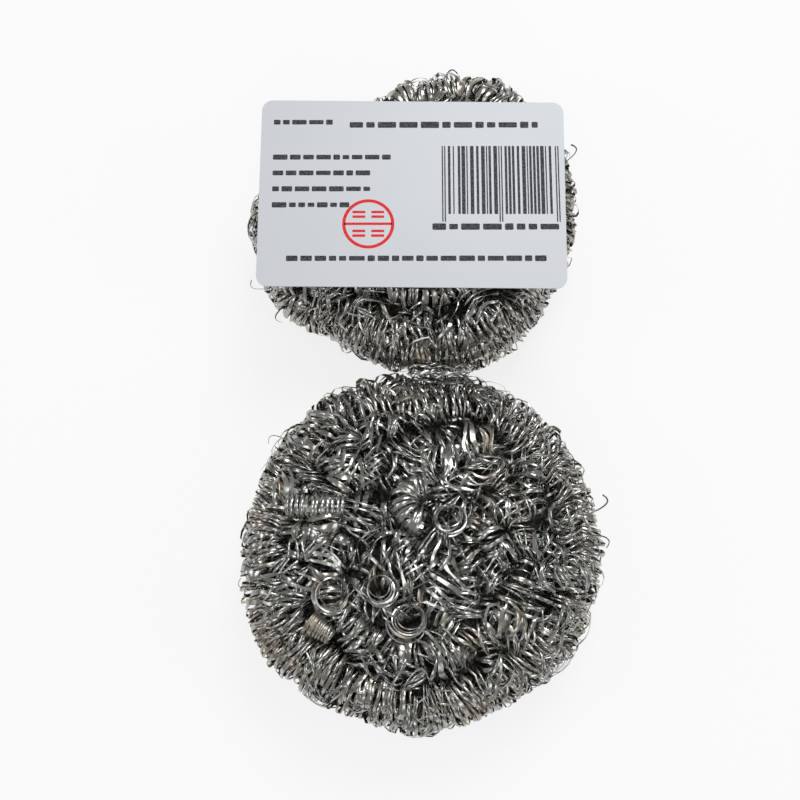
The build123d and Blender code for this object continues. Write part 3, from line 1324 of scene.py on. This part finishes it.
class SCOURERS_OT_single_coils(bpy.types.Operator):
    """Coils on the front face that show one by one"""

    bl_idname = "scourers.single_coils"
    bl_label = "Single coils"

    def execute(self, context):
        chance = random.Random(context.scene.wool_sizes.seed)
        self.lay_open_coil(chance)
        self.lay_ring_coils(chance)
        self.lay_pinched_coil(chance)
        self.lay_tight_coil(chance)
        return {"FINISHED"}

    def settle(self, piece, metal, node):
        settle(piece, metal, "lower_scourer", "steel_wire", node)

    def lay_open_coil(self, chance):
        low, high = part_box("lower_open_coil")
        middle = (low + high) / 2
        raised = middle + UP * OPEN_COIL_BOW * MM
        reach = Vector(((high.x - low.x) / 2, 0, 0))
        coil = single_coil(chance, OPEN_COIL, looseness=0.2)
        way = [middle - reach, raised - reach / 3, raised + reach / 3, middle + reach]
        sizes = (1, 1.02, 1, 0.95)
        piece = place_coil(coil, "lower_open_coil_wire", way, sizes, shade=0.7, lean=0.12)
        self.settle(piece, steel(), "lower_open_coil")

    def lay_ring_coils(self, chance):
        low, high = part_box("lower_ring_coils")
        rings = []
        for index, (x, y, diameter) in enumerate(RING_COILS):
            sizes = (RING_COIL_TURNS, RING_COIL_SPACING, RING_WIRE_WIDTH, diameter, RING_COIL_STEPS)
            coil = single_coil(chance, sizes, 0.7, thickness=RING_WIRE_THICKNESS * MM)
            foot = Vector((x * MM, y * MM, low.z))
            rise = Vector((0.2 - 0.15 * index, 0.25, 1)) * RING_COIL_RISE * MM
            way = [foot, foot + rise, foot + rise * 2, foot + rise * 3]
            rings.append(place_coil(coil, "ring", way, (0.95, 1.06, 1.0, 0.72), shade=0.8))
        self.settle(joined(rings, "lower_ring_coil_wires"), steel(), "lower_ring_coils")

    def lay_pinched_coil(self, chance):
        low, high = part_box("lower_pinched_coil")
        bend = Vector((high.x, (low.y + high.y) / 2, (low.z + high.z) / 2))
        coil = single_coil(chance, PINCHED_COIL, looseness=0.55)
        way = []
        for i in range(PINCHED_BEND_STEPS + 1):
            sweep = PINCHED_BEND_SWEEP * i / PINCHED_BEND_STEPS
            angle = math.radians(PINCHED_BEND_START + sweep)
            way.append(bend + level_way(angle) * PINCHED_BEND_RADIUS * MM)
        piece = place_coil(coil, "lower_pinched_coil_wire", way, [1] * len(way), shade=0.75)
        self.settle(piece, steel(), "lower_pinched_coil")

    def lay_tight_coil(self, chance):
        low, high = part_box("lower_tight_coil")
        middle = (low + high) / 2
        along = level_way(math.radians(TIGHT_COIL_DIRECTION)) * TIGHT_COIL_REACH * MM
        coil = single_coil(chance, TIGHT_COIL, looseness=0.25)
        way = [middle + along * share for share in (-1.25, -1 / 3, 1 / 3, 1.25)]
        sizes = (1, 0.92, 0.82, 0.68)
        piece = place_coil(coil, "lower_tight_coil_wire", way, sizes, shade=0.6)
        colours = finishes()
        browned = wire_finish("browned_steel", colours.steel, colours.tarnish, BROWN_COIL_FROM)
        self.settle(piece, browned, "lower_tight_coil")


# Close coils: spacing and wire widths in mm, steps of a curl, and how the ends sink, as shares of
# the length and in mm
CLOSE_SPACING = 1.2
CLOSE_WIRE_WIDTH = 0.8
BROWN_WIRE_WIDTH = 1.1
CLOSE_STEPS = 22
CLOSE_SINKS = ((-0.55, 1.2), (-0.2, 0), (0.2, 0), (0.55, 1.2))

# Close coils: depth of their middle as a share of the diameter, and looseness
CLOSE_DEPTH_SHARE = 0.42
CLOSE_LOOSENESS = 0.75
BROWN_LOOSENESS = 0.35

# Lone flat wires: widths and thickness in mm, steps, and how the ends dive, as shares of the way
# and depths in mm
LONE_WIRE_WIDTHS = (0.7, 1.0)
LONE_WIRE_THICKNESS = 0.12
LONE_WIRE_STEPS = 18
LONE_WIRE_DIVES = ((-0.15, 2.4), (0.15, -0.2), (0.5, -0.7), (0.85, -0.2), (1.15, 2.4))

# Lone flat wires: length as a share of the distance between the ends, most bow as a share of it,
# and twist from end to middle in radians
LONE_WIRE_LENGTH_SHARE = 1.4
LONE_WIRE_BOW_SHARE = 0.15
LONE_WIRE_TWISTS = (0.8, 1.4)


class SCOURERS_OT_close_coils(bpy.types.Operator):
    """Close coils and lone flat wires that lie on the front face"""

    bl_idname = "scourers.close_coils"
    bl_label = "Close coils"

    def execute(self, context):
        chance = random.Random(context.scene.wool_sizes.seed + 5)
        lower = scourers()[0]
        for name, coils in CLOSE_COILS.items():
            brown = name == "lower_brown_coils"
            strands = [self.close_coil(lower, chance, brown, *coil) for coil in coils]
            piece = joined(strands, name)
            press(piece, lower)
            metal = bpy.data.materials["browned_steel"] if brown else steel()
            settle(piece, metal, lower.body, "steel_wire", "lower_core")
        ribbons = [self.lone_ribbon(lower, chance, *ends) for ends in LONE_RIBBONS]
        piece = joined(ribbons, "lower_lone_ribbons")
        settle(piece, steel(), lower.body, "steel_wire", "lower_core")
        return {"FINISHED"}

    def close_coil(self, scourer, chance, brown, x, y, angle, length, diameter):
        """One coil lying in the face, its ends sunk"""
        across, up = math.cos(math.radians(angle)), math.sin(math.radians(angle))
        way = []
        for share, sink in CLOSE_SINKS:
            way_x = (x + across * length * share) * MM
            way_y = (y + up * length * share) * MM
            depth = (CLOSE_DEPTH_SHARE * diameter + sink) * MM
            way.append(scourer.above(way_x, way_y, depth))
        turns = round(way_length(way) / (CLOSE_SPACING * MM))
        width = BROWN_WIRE_WIDTH if brown else CLOSE_WIRE_WIDTH
        sizes = (turns, CLOSE_SPACING, width, diameter, CLOSE_STEPS)
        coil = single_coil(chance, sizes, BROWN_LOOSENESS if brown else CLOSE_LOOSENESS)
        curl_sizes = [1, 1, 0.95, chance.uniform(0.7, 0.95)]
        shade = chance.random()
        return place_coil(coil, "close", way, curl_sizes, shade, chance.uniform(-0.3, 0.3))

    def lone_ribbon(self, scourer, chance, x, y, end_x, end_y):
        """One flat wire bowed over the face, its ends dived"""
        start, end = Vector((x, y, 0)) * MM, Vector((end_x, end_y, 0)) * MM
        bow_share = chance.uniform(-LONE_WIRE_BOW_SHARE, LONE_WIRE_BOW_SHARE)
        bow = Vector((y - end_y, end_x - x, 0)) * bow_share * MM
        way = []
        for share, depth in LONE_WIRE_DIVES:
            place = start.lerp(end, share) + bow * math.sin(math.pi * share)
            way.append(scourer.above(place.x, place.y, depth * MM))
        length = (end - start).length * LONE_WIRE_LENGTH_SHARE
        width = chance.uniform(*LONE_WIRE_WIDTHS) * MM
        strip = draw_ribbon(0, length, 0, width, LONE_WIRE_THICKNESS * MM, LONE_WIRE_STEPS)
        strip.data.transform(Matrix.Rotation(math.pi / 2, 4, "X"))
        places = read_points(strip)
        along = np.linspace(-1, 1, len(places) // SECTION_CORNERS).repeat(SECTION_CORNERS)
        move_points(strip, twisted(places, along**3 * chance.uniform(*LONE_WIRE_TWISTS)))
        return place_coil(strip, "ribbon", way, [1] * len(way), chance.uniform(0.6, 1))


# Ends of wire that stand out of the rims: direction in degrees, height and reach in mm, and tilt in
# degrees, whose sign is the side that the end curls to
STRAY_WIRES = {
    "lower": (
        (168, 6, 5, 40),
        (193, 9, 5.5, -25),
        (12, 20, 4.5, 70),
        (6, 27, 4, -40),
        (140, 22, 4, 20),
    ),
    "upper": (
        (205, 16, 5, -30),
        (214, 22, 4, 35),
        (22, 20, 4.5, 50),
        (80, 24, 4, -40),
        (284, 26, 4, 30),
    ),
}
STRAY_HALF_WIDTH = 0.18 * MM
STRAY_ROUNDING = 0.05 * MM
STRAY_DEPTH = 5 * MM
STRAY_SMOOTHING = math.radians(50)

# Shape of a stray wire from its foot in the wool: mm outwards, sideways and upwards. The reach is
# added outwards from the third point on
STRAY_HOOK = ((0, 0, 0), (4, 0.5, 0), (4, 1.5, 0.8), (4.6, 3.2, 1.4), (3.2, 4.6, 1))


class SCOURERS_OT_stray_wires(bpy.types.Operator):
    """Thin ends of wire that stand out from the rims"""

    bl_idname = "scourers.stray_wires"
    bl_label = "Stray wires"

    def execute(self, context):
        for scourer in scourers():
            wires = [self.stray_wire(scourer, *wire) for wire in STRAY_WIRES[scourer.prefix]]
            piece = joined(wires, f"{scourer.prefix}_stray_wires")
            bpy.ops.object.shade_smooth_by_angle(angle=STRAY_SMOOTHING)
            settle(piece, steel(), scourer.body, "steel_wire")
        return {"FINISHED"}

    def stray_wire(self, scourer, direction, height, reach, tilt):
        out = level_way(math.radians(direction))
        along = Vector((-out.y, out.x, 0)) * math.copysign(1, tilt)
        rim = scourer.middle + out * scourer.radius + UP * (height * MM - scourer.half)
        foot = scourer.on_skin(rim, STRAY_DEPTH)
        way = []
        for index, (outwards, sideways, upwards) in enumerate(STRAY_HOOK):
            outwards += reach if index > 1 else 0
            way.append(foot + (out * outwards + along * sideways + UP * upwards) * MM)
        line = smooth_line("stray", way)
        line.extrude = STRAY_HALF_WIDTH
        line.bevel_depth = STRAY_ROUNDING
        line.bevel_resolution = 1
        line.resolution_u = 5
        line.use_fill_caps = True
        for place in line.splines[0].points:
            place.tilt = math.radians(tilt)
        return add_to_scene("stray", line)


class SCOURERS_OT_card(bpy.types.Operator):
    """Paper card on the back scourer, and the marks printed on it"""

    bl_idname = "scourers.card"
    bl_label = "Label card"

    def execute(self, context):
        card = frame["nodes"]["label_card"]
        card.data.materials.clear()
        card.data.materials.append(paper_finish())
        low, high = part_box("label_card")
        marks = CardMarks(low, high)
        ink = ink_finish("black_ink", finishes().ink, 0.16)
        red = ink_finish("red_ink", finishes().stamp, 0.08)
        settle(marks.rows("card_rows"), ink, "label", "card")
        settle(marks.bars("card_bars"), ink, "label", "card")
        settle(marks.stamp("card_stamp"), red, "label", "card")
        return {"FINISHED"}


PRINT_SEED = 3
INK_THICKNESS = 0.02 * MM
DASH_CORNER_SHARE = 0.12

# Dashes of a row, as shares of its height: their widths, the gap after each, and the least height
DASH_WIDTH_SHARES = (1.2, 1.9, 2.6)
DASH_GAP_SHARE = 0.45
LEAST_DASH_SHARE = 0.8

# Rows of dashes: start as shares of the card's width and depth, length and height in mm
CARD_ROWS = (
    (0.045, 0.12, 16, 1.5),
    (0.295, 0.135, 50, 1.9),
    (0.045, 0.31, 31, 1.5),
    (0.045, 0.395, 26, 1.5),
    (0.045, 0.48, 26, 1.5),
    (0.045, 0.565, 20, 1.5),
    (0.095, 0.845, 68, 1.6),
)
ROW_UNDER_BARS = (0.565, 0.68, 33, 1.9)

# Bars: corner as shares of the card, thinnest bar and heights in mm, places of the guards in mm, and
# the widths of bars and gaps in thin bars
BARS_CORNER = (0.597, 0.25)
THIN_BAR = 0.33
BAR_HEIGHT = 19.4
GUARD_HEIGHT = 21.6
GUARDS = (0, 15.2, 30.4)
BAR_WIDTHS = (1, 1, 2, 3)

# Stamp: middle as shares of the card, and sizes and places of its ring and lines in mm
STAMP_MIDDLE = (0.358, 0.665)
STAMP_RADIUS = 6.9
STAMP_RING_WIDTH = 0.85
STAMP_LINE = (12.6, 0.7)
STAMP_DASH = (3.4, 0.7)
STAMP_DASH_COLUMNS = (-2.5, 2.5)
STAMP_DASH_ROWS = (3.3, 2.0, -2.0, -3.3)


class CardMarks:
    """Generic printed marks: plain dashes, bars and a round stamp"""

    def __init__(self, low, high):
        self.low = low
        self.high = high
        self.chance = random.Random(PRINT_SEED)

    def at(self, across, along):
        """Point on the card at shares of its width from the left and its depth from the far edge"""
        x = self.low.x + (self.high.x - self.low.x) * across
        y = self.high.y - (self.high.y - self.low.y) * along
        return Vector((x, y, self.high.z))

    def dash(self, place, width, height):
        """One flat mark with cut corners, standing a hair above the card"""
        deselect()
        bpy.ops.mesh.primitive_plane_add(size=1, location=place)
        mark = bpy.context.object
        edit_whole()
        bpy.ops.transform.resize(value=(width, height, 1))
        corner = DASH_CORNER_SHARE * min(width, height)
        bpy.ops.mesh.bevel(offset=corner, affect="VERTICES", segments=1)
        self.thicken()
        return mark

    def thicken(self):
        """Gives the flat mark in edit mode its thickness"""
        bpy.ops.mesh.select_all(action="SELECT")
        lift = {"value": (0, 0, INK_THICKNESS)}
        bpy.ops.mesh.extrude_region_move(TRANSFORM_OT_translate=lift)
        end_edit()

    def finish(self, parts, name):
        piece = joined(parts, name)
        bpy.ops.object.transform_apply(location=True, rotation=True, scale=True)
        return piece

    def row(self, across, along, length, height):
        """A row of dashes of uneven length, as a form has where words would stand"""
        length, height = length * MM, height * MM
        marks = []
        x = 0.0
        while x < length:
            width = self.chance.choice(DASH_WIDTH_SHARES) * height
            width = min(width, length - x + 0.4 * height)
            place = self.at(across, along) + Vector((x + width / 2, 0, 0))
            own_height = height * self.chance.uniform(LEAST_DASH_SHARE, 1)
            marks.append(self.dash(place, width, own_height))
            x += width + DASH_GAP_SHARE * height
        return marks

    def rows(self, name):
        """Rows of dashes all over the card"""
        return self.finish(sum((self.row(*sizes) for sizes in CARD_ROWS), []), name)

    def bar(self, x, width, height):
        place = self.at(*BARS_CORNER) + Vector((x + width / 2, -height / 2, 0))
        return self.dash(place, width, height)

    def bars(self, name):
        """Bars of random widths between pairs of longer ones, over a row of dashes"""
        thin = THIN_BAR * MM
        guards = [guard * MM for guard in GUARDS]
        parts = []
        for guard in guards:
            parts.append(self.bar(guard, thin, GUARD_HEIGHT * MM))
            parts.append(self.bar(guard + 2 * thin, thin, GUARD_HEIGHT * MM))
        for start, end in zip(guards, guards[1:]):
            x = start + 5 * thin
            while x < end - 4 * thin:
                width = self.chance.choice(BAR_WIDTHS) * thin
                parts.append(self.bar(x, width, BAR_HEIGHT * MM))
                x += width + self.chance.choice(BAR_WIDTHS) * thin
        parts += self.row(*ROW_UNDER_BARS)
        return self.finish(parts, name)

    def stamp(self, name):
        """Ring with a line across it and dashes over and under the line"""
        place = self.at(*STAMP_MIDDLE)
        deselect()
        bpy.ops.mesh.primitive_circle_add(
            vertices=64, radius=STAMP_RADIUS * MM, fill_type="NGON", location=place
        )
        ring = bpy.context.object
        edit_whole()
        bpy.ops.mesh.inset(thickness=STAMP_RING_WIDTH * MM)
        bpy.ops.mesh.delete(type="FACE")
        self.thicken()
        parts = [ring, self.stamp_line(place, STAMP_LINE)]
        for y in STAMP_DASH_ROWS:
            for x in STAMP_DASH_COLUMNS:
                offset = Vector((x * MM, y * MM, 0))
                parts.append(self.stamp_line(place + offset, STAMP_DASH))
        return self.finish(parts, name)

    def stamp_line(self, place, sizes):
        width, height = sizes
        return self.dash(place, width * MM, height * MM)


# Floor: side in metres, cells in a metre of its mottle, its darkest tone, and how far its own shade
# gives way to white where the camera or a reflection sees it
FLOOR_SIZE = 6
FLOOR_GRAIN = 9
DARKEST_FLOOR_SHARE = 0.985
FLOOR_GLOW = 0.8

# Camera: width of the sensor in mm and nearest distance seen in metres
SENSOR_WIDTH = 36
NEAREST_SEEN = 0.01

# Lamps: place and size in metres, and the setting that holds the power
LAMPS = {
    "key": ((0.12, 0.42, 0.62), 0.3, "key_power"),
    "top": ((-0.06, -0.02, 0.72), 0.28, "top_power"),
    "left": ((-0.6, 0.0, 0.45), 0.25, "fill_power"),
    "right": ((0.6, -0.1, 0.4), 0.25, "fill_power"),
    "front": ((0.05, -0.55, 0.5), 0.25, "fill_power"),
}
LAMP_AIM = (0, 0.045, 0.02)


class SCOURERS_OT_stage(bpy.types.Operator):
    """Plain pale floor, soft studio light and the camera"""

    bl_idname = "scourers.stage"
    bl_label = "Stage"

    def execute(self, context):
        stage = context.scene.stage_settings
        self.lay_floor(stage)
        self.light(context.scene, stage)
        self.place_camera(context.scene, stage)
        context.scene.view_settings.view_transform = "Standard"
        return {"FINISHED"}

    def lay_floor(self, stage):
        deselect()
        bpy.ops.mesh.primitive_plane_add(size=FLOOR_SIZE)
        floor = bpy.context.object
        floor.name = floor.data.name = "floor"
        finish = Finish("pale_floor")
        pale = stage.floor_colour
        mottle = finish.noise(FLOOR_GRAIN, 3)
        tone = finish.mixed(mottle, tinted(pale, DARKEST_FLOOR_SHARE), pale)
        lit = finish.node("ShaderNodeBsdfDiffuse", {}, {"Color": tone})
        glow = finish.node("ShaderNodeEmission", {}, {"Color": (1, 1, 1, 1), "Strength": 1.0})
        rays = finish.node("ShaderNodeLightPath")
        camera, glossy, through = (
            Number(finish, rays.outputs[name])
            for name in ("Is Camera Ray", "Is Glossy Ray", "Is Transmission Ray")
        )
        seen = 1 - (1 - camera) * (1 - glossy) * (1 - through)
        shaders = {"Fac": seen * FLOOR_GLOW, 1: lit.outputs[0], 2: glow.outputs[0]}
        both = finish.node("ShaderNodeMixShader", {}, shaders)
        finish.node("ShaderNodeOutputMaterial", {}, {"Surface": both.outputs[0]})
        floor.data.materials.append(finish.material)

    def light(self, scene, stage):
        world = bpy.data.worlds.new("studio")
        world.use_nodes = True
        background = world.node_tree.nodes["Background"]
        background.inputs["Color"].default_value = (1, 1, 1, 1)
        background.inputs["Strength"].default_value = stage.surround
        scene.world = world
        aim = Vector(LAMP_AIM)
        for name, (place, size, power) in LAMPS.items():
            lamp = bpy.data.lights.new(name, "AREA")
            lamp.size = size
            lamp.energy = getattr(stage, power)
            self.point(add_to_scene(name, lamp), Vector(place), aim)

    def place_camera(self, scene, stage):
        lens = bpy.data.cameras.new("camera")
        lens.lens = stage.lens
        lens.sensor_width = SENSOR_WIDTH
        lens.clip_start = NEAREST_SEEN
        scene.camera = add_to_scene("camera", lens)
        self.point(scene.camera, Vector(stage.camera_place), Vector(stage.camera_aim))

    def point(self, holder, place, aim):
        """Puts a lamp or the camera in its place and turns it to its aim"""
        holder.location = place
        holder.rotation_euler = (aim - place).to_track_quat("-Z", "Y").to_euler()


class SCOURERS_PT_panel(bpy.types.Panel):
    """Lists the steps that build the scourers"""

    bl_idname = "SCOURERS_PT_panel"
    bl_label = "Scourers"
    bl_space_type = "VIEW_3D"
    bl_region_type = "UI"
    bl_category = "Scourers"

    def draw(self, context):
        for name, group in SETTINGS.items():
            box = self.layout.box()
            settings = getattr(context.scene, name)
            for setting in group.bl_rna.properties.keys():
                if setting not in ("rna_type", "name"):
                    box.prop(settings, setting)
        for step in STEPS:
            self.layout.operator(step.bl_idname)


SETTINGS = {
    "scourer_sizes": ScourerSizes,
    "wool_sizes": WoolSizes,
    "scourer_finishes": ScourerFinishes,
    "stage_settings": StageSettings,
}
STEPS = (
    SCOURERS_OT_stage,
    SCOURERS_OT_hearts,
    SCOURERS_OT_wool,
    SCOURERS_OT_single_coils,
    SCOURERS_OT_close_coils,
    SCOURERS_OT_stray_wires,
    SCOURERS_OT_card,
)
CLASSES = (*SETTINGS.values(), *STEPS, SCOURERS_PT_panel)


def register():
    for kind in CLASSES:
        bpy.utils.register_class(kind)
    for name, group in SETTINGS.items():
        setattr(bpy.types.Scene, name, PointerProperty(type=group))


def unregister():
    for name in SETTINGS:
        delattr(bpy.types.Scene, name)
    for kind in reversed(CLASSES):
        bpy.utils.unregister_class(kind)


def main():
    register()
    bpy.ops.scourers.stage()
    bpy.ops.scourers.hearts()
    bpy.ops.scourers.wool()
    bpy.ops.scourers.single_coils()
    bpy.ops.scourers.close_coils()
    bpy.ops.scourers.stray_wires()
    bpy.ops.scourers.card()


if __name__ == "__main__":
    main()
